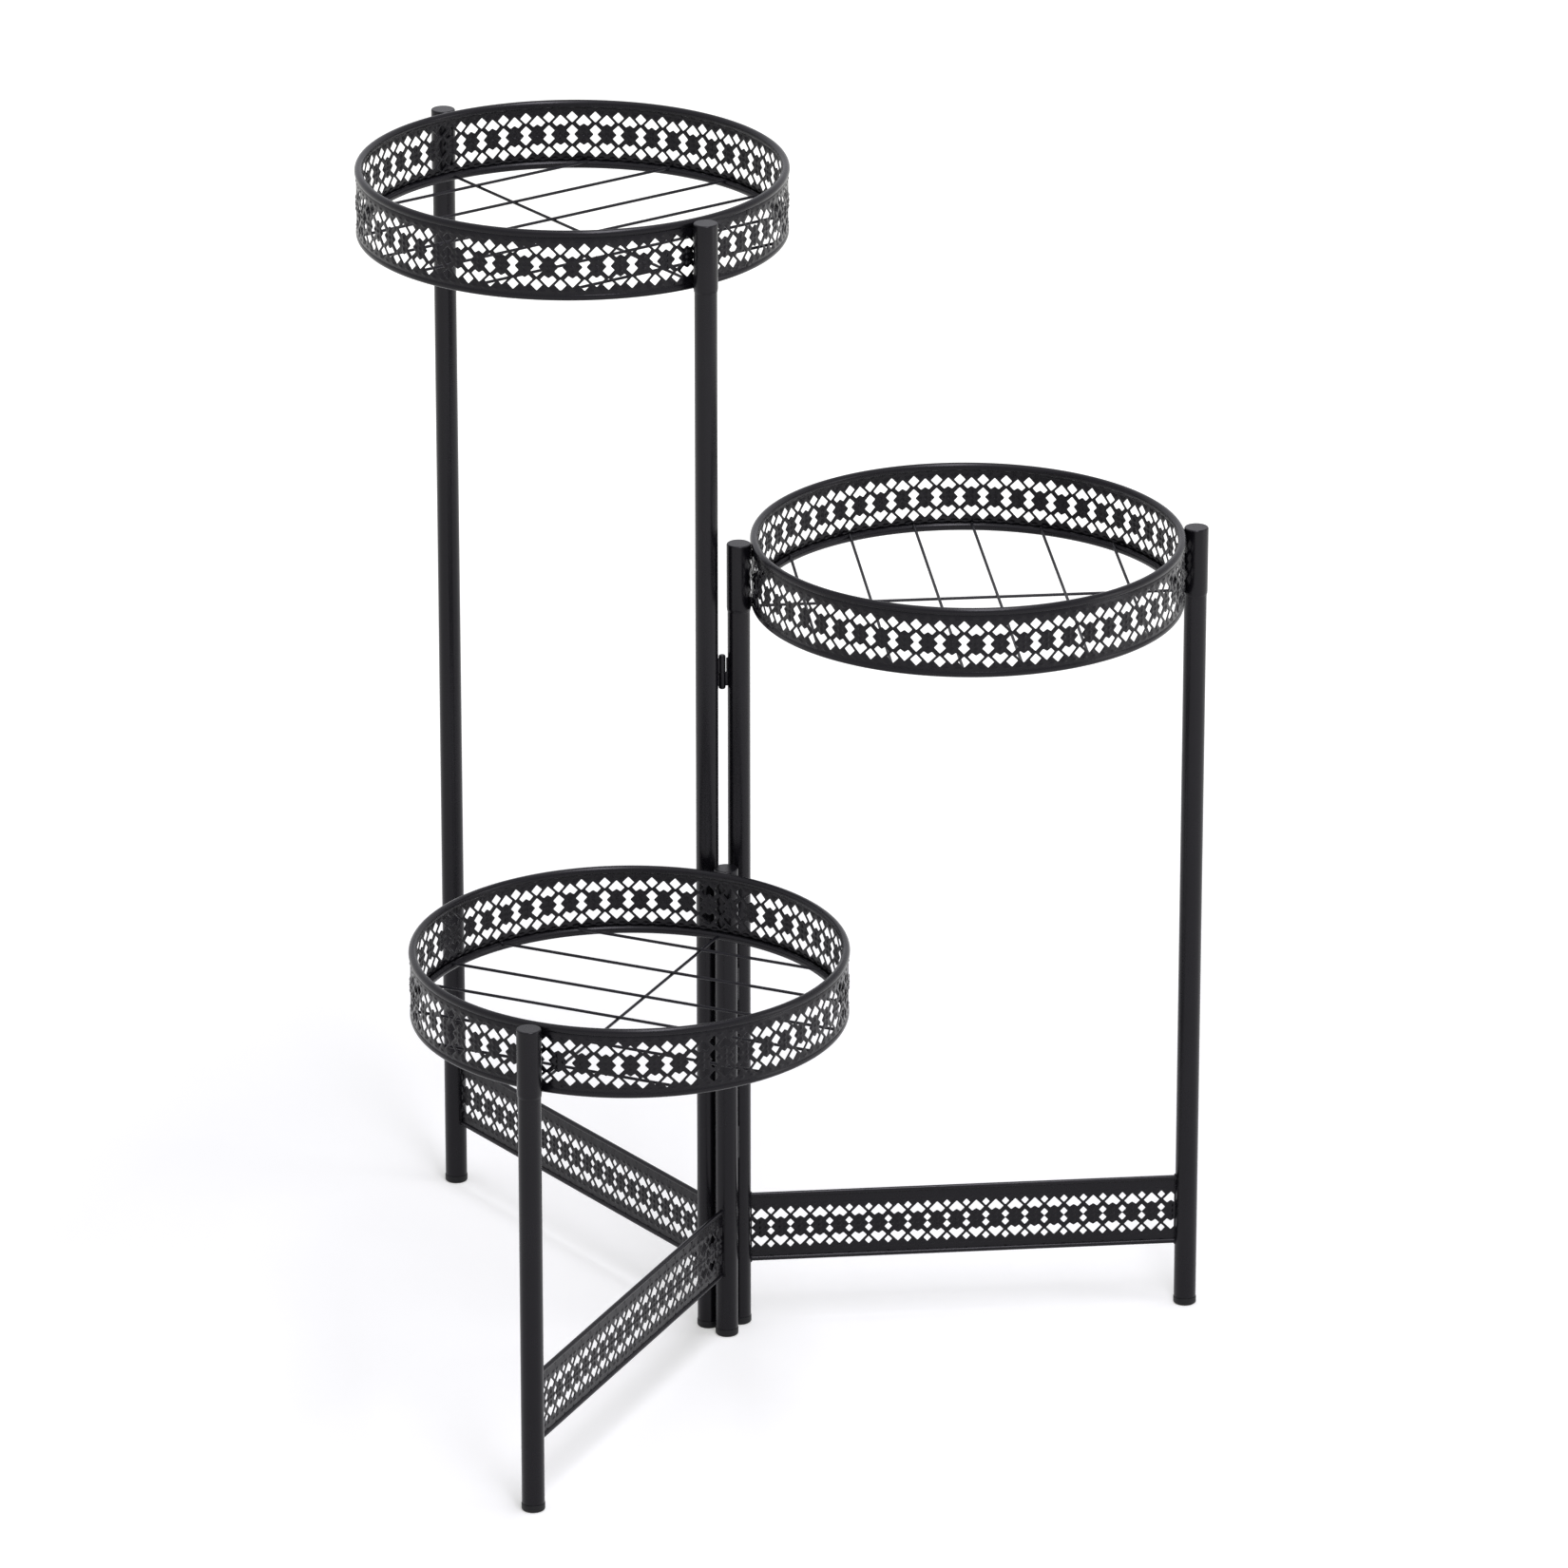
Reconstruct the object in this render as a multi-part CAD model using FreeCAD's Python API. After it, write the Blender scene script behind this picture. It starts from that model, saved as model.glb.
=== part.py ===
import FreeCAD, Part
import math
import os

# A folding plant stand: three two-legged frames, hinged together at a hub of three legs, with a
# pierced round tray pushed down over the tops of each frame's two legs.
# Millimetres, +Z up. The origin is under the middle of the middle frame's hub leg, on the floor,
# and the middle frame runs along +X from it.

# Driving dimensions
heights = {"tall": 703.0, "middle": 502.7, "low": 303.5}
headings = {"tall": 119.9, "middle": 0.0, "low": -120.15}
leg_spacing = 272.8
leg_diameter = 13.5
leg_wall = 0.9
tray_diameter = 257.8
tray_depth = 43.0
rim_rise = 0.65
sheet = 0.6

# Hub: how far the tall and low hub legs stand from the middle one, and in which direction
hub_gap = 19.7
hub_bearing = {"tall": 190.0, "low": 240.7}
pin_offset = 1.8

# Feet: a plug pushed into each leg, with a lip that the leg stands on
foot_lip = 4.5
foot_diameter = 14.0
foot_round = 1.2
foot_plug = 12.0

# Sockets: closed caps welded to the tray, which slide down over the legs
socket_diameter = 14.5
socket_play = 0.08
socket_length = 42.0
socket_top = 0.7
socket_round = 0.5
weld_width = 4.0
weld_height = 6.0
weld_inset = 2.5

# Tray rims and floor
rim_roll = 4.9
wire_diameter = 1.8
wire_offsets = [17.6, 58.0, 97.5]
wire_height = 4.5

# Brace panels between the legs of a frame
top_rail = 3.0
top_rail_height = 83.0
bottom_rail = 3.0
bottom_rail_height = 41.1
panel_pattern_height = 61.3
panel_pitch = 11.93
panel_first_column = 7.03
panel_margin = 0.55

# Hinges: two round knuckles on a pin, each on a leaf welded to its leg
barrel_diameter = 4.2
barrel_length = 21.5
barrel_round = 1.1
barrel_wall = 1.0
knuckle_gap = 0.3
hinge_pin = 2.0
pin_play = 0.05
leaf_thickness = 2.4
hinge_heights = {"tall": {"upper": 411.3, "lower": 112.0}, "low": {"upper": 215.0, "lower": 112.0}}

# The pierced pattern, one repeat: pairs of hearts with a diamond and a waisted double diamond
# between them. Sizes are from the middle of the repeat.
tray_repeats = 57
tray_pattern_drop = 0.65
diamond_height = 11.0
heart_tip = 12.6
heart_corner = (4.9, 7.65)
heart_lobe = (2.4, 5.1)
heart_notch = 6.8
waist_diamond_height = 2.57
tray_diamond = 3.6
waist_width = 1.1
panel_diamond = (2.4, 2.6)

leg_radius = leg_diameter / 2
tray_radius = tray_diameter / 2
tray_centre = leg_spacing / 2
up = FreeCAD.Vector(0, 0, 1)


def point(x, y, z=0.0):
    return FreeCAD.Vector(x, y, z)


def polar(length, degrees):
    turn = math.radians(degrees)
    return point(length * math.cos(turn), length * math.sin(turn))


def rod(radius, start, end):
    """A round bar between two points."""
    run = end - start
    return Part.makeCylinder(radius, run.Length, start, run)


def tube(outer, inner, bottom, top):
    """An upright tube on the Z axis."""
    shell = Part.makeCylinder(outer, top - bottom, point(0, 0, bottom))
    return shell.cut(Part.makeCylinder(inner, top - bottom, point(0, 0, bottom)))


def circle_edges(shape, height, radius):
    """The round edges of a shape at one height and radius."""
    found = []
    for edge in shape.Edges:
        curve = edge.Curve
        if isinstance(curve, Part.Circle) and abs(curve.Radius - radius) < 0.01:
            if abs(curve.Center.z - height) < 0.01:
                found.append(edge)
    return found


def hub_leg(frame):
    """Where a frame's hub leg stands on the floor."""
    if frame == "middle":
        return point(0, 0)
    return polar(hub_gap, hub_bearing[frame])


def placed(shape, frame):
    """A shape drawn with its hub leg at the origin and its frame along +X, moved to its frame."""
    moved = shape.copy()
    moved.rotate(point(0, 0), up, headings[frame])
    moved.translate(hub_leg(frame))
    return moved


def export(shape, name):
    shape.exportStep("parts/" + name + ".step")
    print(name, "solids", len(shape.Solids), "volume", round(shape.Volume, 1), shape.isValid())


# One repeat of the pattern, as closed outlines of (across, height) points

def diamond(x, z, half_width, half_height):
    return [(x, z + half_height), (x + half_width, z), (x, z - half_height), (x - half_width, z)]


def waisted_diamond(x, half, waist):
    far = waist_diamond_height + half
    near = waist_diamond_height
    return [(x, far), (x + half, near), (x + waist, 0), (x + half, -near),
            (x, -far), (x - half, -near), (x - waist, 0), (x - half, near)]


def heart(x, side):
    """A heart on the middle line, pointing up for side 1 and down for side -1."""
    outline = [(0, heart_tip), heart_corner, heart_lobe, (0, heart_notch),
               (-heart_lobe[0], heart_lobe[1]), (-heart_corner[0], heart_corner[1])]
    return [(x + across, side * height) for across, height in outline]


def tray_outlines(pitch):
    half = pitch / 2
    return [heart(0, 1), heart(0, -1), waisted_diamond(half, tray_diamond, waist_width),
            diamond(half, diamond_height, tray_diamond, tray_diamond),
            diamond(half, -diamond_height, tray_diamond, tray_diamond)]


def panel_outlines(column):
    """The holes of one panel repeat, from its diamond column to the heart column after it."""
    wide, tall = panel_diamond
    levels = [diamond_height, waist_diamond_height, -waist_diamond_height, -diamond_height]
    outlines = [diamond(column, level, wide, tall) for level in levels]
    return outlines + [heart(column + panel_pitch / 2, 1), heart(column + panel_pitch / 2, -1)]


def prism(corners, depth):
    """A solid with a flat outline, drawn in 3-D points, pushed along a vector."""
    loop = Part.makePolygon(corners + corners[:1])
    return Part.Face(loop).extrude(depth)


# Frames

def make_leg(height):
    return tube(leg_radius, leg_radius - leg_wall, foot_lip, height - socket_top)


def make_foot():
    lip = Part.makeCylinder(foot_diameter / 2, foot_lip)
    lip = lip.makeFillet(foot_round, circle_edges(lip, 0, foot_diameter / 2))
    plug = Part.makeCylinder(leg_radius - leg_wall, foot_plug, point(0, 0, foot_lip))
    return lip.fuse(plug).removeSplitter()


def make_rail(diameter, height):
    bar = rod(diameter / 2, point(0, 0, height), point(leg_spacing, 0, height))
    return between_legs(bar)


def between_legs(shape):
    """The stretch of a brace between the legs' outsides, its ends fitted to them."""
    for x in (0, leg_spacing):
        shape = shape.cut(Part.makeCylinder(leg_radius, heights["low"], point(x, 0)))
    return shape


def make_panel(rails):
    height = top_rail_height - bottom_rail_height
    plate = Part.makeBox(leg_spacing, sheet, height, point(0, -sheet / 2, bottom_rail_height))
    inside = leg_radius + panel_margin
    corner = point(inside, -sheet * 2, bottom_rail_height)
    window = Part.makeBox(leg_spacing - 2 * inside, sheet * 4, height, corner)
    holes = []
    column = panel_first_column
    while column < leg_spacing:
        for outline in panel_outlines(column):
            corners = [point(x, -sheet, panel_pattern_height + z) for x, z in outline]
            hole = prism(corners, point(0, sheet * 2, 0)).common(window)
            holes.extend(hole.Solids)
        column += panel_pitch
    plate = plate.cut(Part.makeCompound(holes))
    for rail in rails:
        plate = plate.cut(rail)
    return between_legs(plate)


def build_frames():
    rails = {"top": make_rail(top_rail, top_rail_height),
             "bottom": make_rail(bottom_rail, bottom_rail_height)}
    panel = make_panel(rails.values())
    for frame, height in heights.items():
        leg = make_leg(height)
        foot = make_foot()
        for place, x in (("hub", 0), ("outer", leg_spacing)):
            stand = point(x, 0)
            export(placed(leg.translated(stand), frame), frame + "_" + place + "_leg")
            export(placed(foot.translated(stand), frame), frame + "_" + place + "_foot")
        for level, rail in rails.items():
            export(placed(rail, frame), frame + "_brace_" + level + "_rail")
        # the outer two frames are the middle one's twins, turned end for end
        strip = panel.copy()
        if frame != "middle":
            strip.rotate(point(leg_spacing / 2, 0), up, 180)
        export(placed(strip, frame), frame + "_brace_panel")


# Trays, drawn with the tray's middle on the Z axis and its bottom at height 0

def rolled_edge(bottom, square_up):
    """A ring with a rolled section, flush outside and square on the side that meets the band."""
    roll = rim_roll / 2
    outer = tray_radius
    middle = outer - roll
    inner = outer - rim_roll
    side = 1 if square_up else -1
    meet = roll * side
    centre = bottom + roll
    slant = roll * math.sqrt(0.5)
    corner = point(outer, 0, centre + meet)
    waist = point(outer, 0, centre)
    crown = point(middle, 0, centre - meet)
    far = point(inner, 0, centre)
    foot = point(middle, 0, centre + meet)
    edges = [
        Part.makeLine(corner, waist),
        Part.Arc(waist, point(middle + slant, 0, centre - slant * side), crown).toShape(),
        Part.Arc(crown, point(middle - slant, 0, centre - slant * side), far).toShape(),
        Part.Arc(far, point(middle - slant, 0, centre + slant * side), foot).toShape(),
        Part.makeLine(foot, corner),
    ]
    section = Part.Face(Part.Wire(edges))
    return section.revolve(point(0, 0), up, 360)


def make_band():
    band = tube(tray_radius, tray_radius - sheet, rim_roll, tray_depth - rim_roll)
    pitch = 2 * math.pi * tray_radius / tray_repeats
    level = tray_depth / 2 - tray_pattern_drop
    start = tray_radius - sheet * 3
    repeat = []
    for outline in tray_outlines(pitch):
        middle = sum(x for x, z in outline) / len(outline)
        corners = [point(start, x - middle, level + z) for x, z in outline]
        hole = prism(corners, point(sheet * 5, 0, 0))
        hole.rotate(point(0, 0), up, math.degrees(middle / tray_radius))
        repeat.append(hole)
    holes = []
    for step in range(tray_repeats):
        for hole in repeat:
            turned = hole.copy()
            turned.rotate(point(0, 0), up, 360.0 * step / tray_repeats)
            holes.append(turned)
    return band.cut(Part.makeCompound(holes))


def make_wires(floor_ring):
    """Six wires across the frame and one along it, under them, with their ends on the ring."""
    reach = tray_radius - rim_roll / 2
    wires = []
    for offset in wire_offsets:
        for x in (-offset, offset):
            half = math.sqrt(reach ** 2 - x ** 2)
            bar = rod(wire_diameter / 2, point(x, -half, wire_height), point(x, half, wire_height))
            wires.append(bar.cut(floor_ring))
    height = wire_height - wire_diameter
    cross = rod(wire_diameter / 2, point(-reach, 0, height), point(reach, 0, height))
    return Part.makeCompound(wires), cross.cut(floor_ring)


def make_socket(side):
    """A closed cap beside the band, with two welds that reach it. Side 1 is the outer leg's."""
    centre = point(tray_centre * side, 0)
    top = tray_depth - rim_rise
    bottom = top - socket_length
    radius = socket_diameter / 2
    shell = Part.makeCylinder(radius, socket_length, centre + point(0, 0, bottom))
    shell = shell.makeFillet(socket_round, circle_edges(shell, top, radius))
    for low in (weld_inset, top - weld_inset - weld_height):
        near = tray_radius - sheet
        reach = tray_centre - radius + sheet - near
        x = near if side > 0 else -near - reach
        weld = Part.makeBox(reach, weld_width, weld_height, point(x, -weld_width / 2, low))
        shell = shell.fuse(weld)
    bore = leg_radius + socket_play
    shell = shell.cut(Part.makeCylinder(bore, socket_length - socket_top, centre + point(0, 0, bottom)))
    return shell.cut(Part.makeCylinder(tray_radius, tray_depth))


def build_trays():
    rim = rolled_edge(tray_depth - rim_roll, False)
    floor_ring = rolled_edge(0, True)
    wires, cross = make_wires(floor_ring)
    pieces = {
        "band": make_band(),
        "rim": rim,
        "floor_ring": floor_ring,
        "floor_wires": wires,
        "cross_wire": cross,
        "hub_socket": make_socket(-1),
        "outer_socket": make_socket(1),
    }
    for frame, height in heights.items():
        lift = point(tray_centre, 0, height + rim_rise - tray_depth)
        for piece, shape in pieces.items():
            export(placed(shape.translated(lift), frame), frame + "_tray_" + piece)


# Hinges between the middle hub leg and the tall and low ones

def pin_axis(frame):
    """Halfway between the two legs, set over towards the side that the frame folds to."""
    bearing = hub_bearing[frame]
    fold_side = -90 if frame == "tall" else 90
    return hub_leg(frame) * 0.5 + polar(pin_offset, bearing + fold_side)


def make_knuckle(axis, leg, bottom, top, full):
    """A round knuckle, and a leaf along the whole hinge that reaches its leg."""
    radius = barrel_diameter / 2
    barrel = Part.makeCylinder(radius, top - bottom, axis + point(0, 0, bottom))
    end = bottom if bottom == full[0] else top
    barrel = barrel.makeFillet(barrel_round, circle_edges(barrel, end, radius))
    run = leg - axis
    turn = math.degrees(math.atan2(run.y, run.x))
    low = full[0] + barrel_round
    high = full[1] - barrel_round
    leaf = Part.makeBox(run.Length, leaf_thickness, high - low, point(0, -leaf_thickness / 2, low))
    leaf.rotate(point(0, 0), up, turn)
    leaf.translate(axis)
    room = Part.makeCylinder(radius + knuckle_gap, high - low, axis + point(0, 0, low))
    own = Part.makeCylinder(radius, top - bottom, axis + point(0, 0, bottom))
    link = leaf.cut(room).fuse(leaf.common(room).common(slab(bottom, top)).cut(own))
    whole = barrel.fuse(link)
    return whole.cut(Part.makeCylinder(leg_radius, full[1], leg)).removeSplitter()


def slab(bottom, top):
    """Everything near the hub between two heights."""
    return Part.makeBox(4 * hub_gap, 4 * hub_gap, top - bottom, point(-2 * hub_gap, -2 * hub_gap, bottom))


def build_hinges():
    half = (barrel_length - knuckle_gap) / 2
    for frame, levels in hinge_heights.items():
        axis = pin_axis(frame)
        print(frame, "hinge axis", round(axis.x, 4), round(axis.y, 4))
        for level, bottom in levels.items():
            top = bottom + barrel_length
            full = (bottom, top)
            lower = make_knuckle(axis, hub_leg("middle"), bottom, bottom + half, full)
            upper = make_knuckle(axis, hub_leg(frame), top - half, top, full)
            start = axis + point(0, 0, bottom + barrel_wall)
            end = axis + point(0, 0, top - barrel_wall - knuckle_gap)
            pin = rod(hinge_pin / 2, start, end)
            bore = rod(hinge_pin / 2 + pin_play, start, axis + point(0, 0, top - barrel_wall))
            name = frame + "_hinge_" + level
            export(lower.cut(pin), name + "_fixed_knuckle")
            export(upper.cut(bore), name + "_moving_knuckle")
            export(pin, name + "_pin")


os.makedirs("parts", exist_ok=True)
build_frames()
build_trays()
build_hinges()
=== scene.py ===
import math

import bmesh
import bpy
from mathutils import Matrix, Vector
from mathutils.geometry import delaunay_2d_cdt, intersect_point_line


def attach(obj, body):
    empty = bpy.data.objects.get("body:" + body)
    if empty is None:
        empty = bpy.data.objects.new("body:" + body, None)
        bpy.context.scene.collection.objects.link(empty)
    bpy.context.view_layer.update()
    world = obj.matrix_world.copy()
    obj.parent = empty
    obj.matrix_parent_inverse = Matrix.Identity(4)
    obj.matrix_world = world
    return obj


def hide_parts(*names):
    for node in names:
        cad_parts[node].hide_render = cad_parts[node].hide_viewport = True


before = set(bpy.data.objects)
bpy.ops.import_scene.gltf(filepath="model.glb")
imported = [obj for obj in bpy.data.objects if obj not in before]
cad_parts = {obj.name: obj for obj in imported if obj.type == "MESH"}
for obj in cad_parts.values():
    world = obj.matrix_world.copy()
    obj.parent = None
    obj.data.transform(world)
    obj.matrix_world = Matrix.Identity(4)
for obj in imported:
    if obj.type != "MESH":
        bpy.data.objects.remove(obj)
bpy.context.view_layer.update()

# Plant stand: three folding frames and three pierced trays, all in one black powder coat.
# Shapes are drawn in millimetres, beside a hub leg at the origin with the frame along +X,
# and placeOf(frame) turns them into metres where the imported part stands.

standPlan = {
    "names": ("tall", "middle", "low"),
    "heights": {"tall": 703.0, "middle": 502.7, "low": 303.5},
    "headings": {"tall": 119.9, "middle": 0.0, "low": -120.15},
    "hubGap": 19.7,
    "hubBearings": {"tall": 190.0, "low": 240.7},
    "legSpacing": 272.8,
    "legRadius": 6.75,
    "legWall": 0.9,
}


def hubOf(name):
    if name not in standPlan["hubBearings"]:
        return Vector((0, 0, 0))
    turn = math.radians(standPlan["hubBearings"][name])
    return Vector((math.cos(turn), math.sin(turn), 0)) * standPlan["hubGap"]


def placeOf(name, x=0.0, z=0.0):
    turn = Matrix.Rotation(math.radians(standPlan["headings"][name]), 4, "Z")
    return Matrix.Scale(0.001, 4) @ Matrix.Translation(hubOf(name)) @ turn @ Matrix.Translation((x, 0, z))


class Wire:
    # a socket of a node tree that takes part in plain arithmetic
    def __init__(self, tree, socket=None):
        self.tree = tree
        self.socket = socket

    def add(self, kind, settings=None, inputs=None, output=0):
        node = self.tree.nodes.new(kind)
        for name, value in (settings or {}).items():
            setattr(node, name, value)
        for key, value in (inputs or {}).items():
            if isinstance(value, Wire):
                self.tree.links.new(value.socket, node.inputs[key])
            else:
                node.inputs[key].default_value = value
        return Wire(self.tree, node.outputs[output]) if len(node.outputs) else node

    def maths(self, operation, *values):
        return self.add("ShaderNodeMath", {"operation": operation}, dict(enumerate(values)))

    def clamped(self, low=0.0, high=1.0):
        return self.add("ShaderNodeClamp", None, {"Value": self, "Min": low, "Max": high})

    def mixed(self, first, second):
        # a colour between two colours, this value being the share of the second
        return self.add("ShaderNodeMix", {"data_type": "RGBA"}, {0: self, 6: first, 7: second}, 2)

    def __add__(self, other):
        return self.maths("ADD", self, other)

    def __sub__(self, other):
        return self.maths("SUBTRACT", self, other)

    def __rsub__(self, other):
        return self.maths("SUBTRACT", other, self)

    def __mul__(self, other):
        return self.maths("MULTIPLY", self, other)

    def __truediv__(self, other):
        return self.maths("DIVIDE", self, other)

    __radd__ = __add__
    __rmul__ = __mul__


coatFinish = {
    "colour": (0.0026, 0.0023, 0.0036, 1),
    "bloom": (0.0050, 0.0047, 0.0062, 1),     # where the coat is a touch thicker and greyer
    "edge": (0.0110, 0.0108, 0.0130, 1),      # rubbed corners
    "specular": 0.22,
    "sheen": (0.98, 0.96, 1.0, 1),           # the faint violet of the coat's reflections
    "roughness": 0.27,
    "peelSize": 1.3,                         # mm, orange peel
    "peelDepth": 0.012,
    "grainSize": 0.28,                        # mm, fine grain of the baked powder
    "grainDepth": 0.006,
}

wireFinish = dict(coatFinish, colour=(0.0090, 0.0090, 0.0120, 1), roughness=0.36,
                  peelSize=0.9, peelDepth=0.008)

footFinish = {
    "colour": (0.0052, 0.0052, 0.0060, 1),
    "bloom": (0.0085, 0.0085, 0.0095, 1),
    "edge": (0.0130, 0.0130, 0.0140, 1),
    "specular": 0.24,
    "sheen": (1, 1, 1, 1),
    "roughness": 0.48,
    "peelSize": 0.55,
    "peelDepth": 0.010,
    "grainSize": 0.16,
    "grainDepth": 0.006,
}

variation = {"cloudSize": 42.0, "patchSize": 7.0, "speckSize": 0.45}     # mm, uneven tone of the coat

pinFinish = {
    "dark": (0.22, 0.22, 0.23, 1),
    "bright": (0.46, 0.46, 0.48, 1),
    "roughness": 0.34,
    "lineSize": 0.12,                         # mm, drawn lines round the pin
}


def noiseAt(wire, size, detail=2.0, stretch=(1, 1, 1)):
    # noise whose cells are about size millimetres across
    place = wire.add("ShaderNodeTexCoord", None, None, 3)
    place = wire.add("ShaderNodeMapping", {"vector_type": "POINT"}, {"Vector": place, "Scale": stretch})
    return wire.add("ShaderNodeTexNoise", None,
                    {"Vector": place, "Scale": 500.0 / size, "Detail": detail, "Roughness": 0.55})


def newMaterial(name):
    material = bpy.data.materials.new(name)
    material.use_nodes = True
    tree = material.node_tree
    tree.nodes.clear()
    return material, Wire(tree)


def closeMaterial(wire, values):
    shader = wire.add("ShaderNodeBsdfPrincipled", None, values)
    wire.add("ShaderNodeOutputMaterial", None, {"Surface": shader})


def coatMaterial(name, finish):
    material, wire = newMaterial(name)
    cloud = noiseAt(wire, variation["cloudSize"], 3.0)
    patch = noiseAt(wire, variation["patchSize"], 2.0)
    speck = noiseAt(wire, variation["speckSize"], 1.0)
    rubbed = wire.add("ShaderNodeAttribute", {"attribute_name": "rubbed"}, None, 2)
    worn = (rubbed * (patch * 1.7 - 0.25)).clamped(0.0, 0.85)
    bloom = (cloud * 1.6 - 0.3 + (speck - 0.5) * 0.5).clamped()
    colour = bloom.mixed(finish["colour"], finish["bloom"])
    colour = worn.mixed(colour, finish["edge"])
    rough = finish["roughness"] + (cloud - 0.5) * 0.12 + (patch - 0.5) * 0.08 + (speck - 0.5) * 0.06
    rough = rough - worn * 0.06
    peel = noiseAt(wire, finish["peelSize"], 1.0)
    grain = noiseAt(wire, finish["grainSize"], 2.0)
    height = peel * finish["peelDepth"] + grain * finish["grainDepth"]
    bump = wire.add("ShaderNodeBump", None, {"Height": height, "Strength": 1.0, "Distance": 0.001})
    closeMaterial(wire, {"Base Color": colour, "Roughness": rough, "Normal": bump,
                         "Specular IOR Level": finish["specular"], "Specular Tint": finish["sheen"]})
    return material


def pinMaterial(name, finish):
    material, wire = newMaterial(name)
    lines = noiseAt(wire, finish["lineSize"], 2.0, (0.06, 0.06, 1))
    cloud = noiseAt(wire, 3.0, 2.0)
    tone = (lines * 0.7 + cloud * 0.5 - 0.1).clamped()
    colour = tone.mixed(finish["dark"], finish["bright"])
    rough = finish["roughness"] + (lines - 0.5) * 0.2
    bump = wire.add("ShaderNodeBump", None, {"Height": lines * 0.004, "Strength": 1.0, "Distance": 0.001})
    closeMaterial(wire, {"Base Color": colour, "Roughness": rough, "Metallic": 1.0, "Normal": bump})
    return material


materials = {
    "powder_coat": coatMaterial("blackPowderCoat", coatFinish),
    "wire_coat": coatMaterial("blackWireCoat", wireFinish),
    "foot_plastic": coatMaterial("blackFootPlastic", footFinish),
    "pin_steel": pinMaterial("drawnPinSteel", pinFinish),
}
print("finishes ready:", len(materials))


def arc(r, z, radius, start, end, steps):
    # points of an arc in a turned outline, angles in degrees from straight out
    points = []
    for i in range(steps + 1):
        turn = math.radians(start + (end - start) * i / steps)
        points.append((r + radius * math.cos(turn), z + radius * math.sin(turn)))
    return points


def addTurned(bm, outline, place, turns, closed=False):
    # a solid turned round Z from (radius, height) points
    rings = []
    for r, z in outline:
        if r < 1e-6:
            rings.append([bm.verts.new((0, 0, z))])
            continue
        step = 2 * math.pi / turns
        rings.append([bm.verts.new((r * math.cos(i * step), r * math.sin(i * step), z))
                      for i in range(turns)])
    following = rings[1:] + (rings[:1] if closed else [])
    for a, b in zip(rings, following):
        for i in range(turns):
            j = (i + 1) % turns
            if len(a) == 1:
                bm.faces.new((a[0], b[i], b[j]))
            elif len(b) == 1:
                bm.faces.new((a[i], a[j], b[0]))
            else:
                bm.faces.new((a[i], a[j], b[j], b[i]))
    if place is not None:
        bmesh.ops.transform(bm, matrix=place, verts=[v for ring in rings for v in ring])


def addRod(bm, start, end, radius, turns, soften):
    start, end = Vector(start), Vector(end)
    length = (end - start).length
    outline = [(0, 0), (radius - soften, 0), (radius, soften), (radius, length - soften),
               (radius - soften, length), (0, length)]
    turn = (end - start).to_track_quat("Z", "Y").to_matrix().to_4x4()
    addTurned(bm, outline, Matrix.Translation(start) @ turn, turns)


def addBox(bm, low, high, soften):
    corners = [Vector((x, y, z)) for x in (low[0], high[0])
               for y in (low[1], high[1]) for z in (low[2], high[2])]
    verts = [bm.verts.new(c) for c in corners]
    faces = [bm.faces.new([verts[i] for i in loop]) for loop in
             ((0, 1, 3, 2), (4, 6, 7, 5), (0, 4, 5, 1), (2, 3, 7, 6), (0, 2, 6, 4), (1, 5, 7, 3))]
    edges = list(dict.fromkeys(e for f in faces for e in f.edges))
    bmesh.ops.bevel(bm, geom=edges, offset=soften, segments=2, affect="EDGES", profile=0.5)


rubbedFrom, rubbedOver = 38.0, 40.0            # degrees by which an edge turns outwards


def markRubbed(bm):
    # how sharply the surface turns outwards at each point: 0 on the flat, 1 on a corner
    layer = bm.verts.layers.float.new("rubbed")
    for vert in bm.verts:
        angles = [e.calc_face_angle_signed(0.0) for e in vert.link_edges if len(e.link_faces) == 2]
        sharpest = max(angles, default=0.0)
        vert[layer] = min(1.0, max(0.0, (math.degrees(sharpest) - rubbedFrom) / rubbedOver))


def meshFrom(bm, name, place=None, outwards=True):
    if outwards:
        bmesh.ops.recalc_face_normals(bm, faces=bm.faces[:])
    bm.normal_update()
    markRubbed(bm)
    if place is not None:
        bmesh.ops.transform(bm, matrix=place, verts=bm.verts[:])
    mesh = bpy.data.meshes.new(name)
    bm.to_mesh(mesh)
    bm.free()
    return mesh


def smooth(mesh, angle):
    mesh.polygons.foreach_set("use_smooth", [True] * len(mesh.polygons))
    mesh.set_sharp_from_angle(angle=math.radians(angle))


def showPiece(mesh, name, body, slot, replaced=(), angle=30.0):
    smooth(mesh, angle)
    mesh.materials.clear()
    mesh.materials.append(materials[slot])
    piece = bpy.data.objects.new(name, mesh)
    bpy.context.scene.collection.objects.link(piece)
    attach(piece, body)
    if replaced:
        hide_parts(*replaced)


def newTree(name, inputs):
    # a tree with a geometry in and out, and the named inputs
    tree = bpy.data.node_groups.new(name, "GeometryNodeTree")
    tree.interface.new_socket("Geometry", in_out="INPUT", socket_type="NodeSocketGeometry")
    for label, kind in inputs.items():
        tree.interface.new_socket(label, in_out="INPUT", socket_type="NodeSocket" + kind)
    tree.interface.new_socket("Geometry", in_out="OUTPUT", socket_type="NodeSocketGeometry")
    source = tree.nodes.new("NodeGroupInput")
    given = {socket.name: Wire(tree, socket) for socket in source.outputs if socket.name}
    return tree, Wire(tree), given


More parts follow.
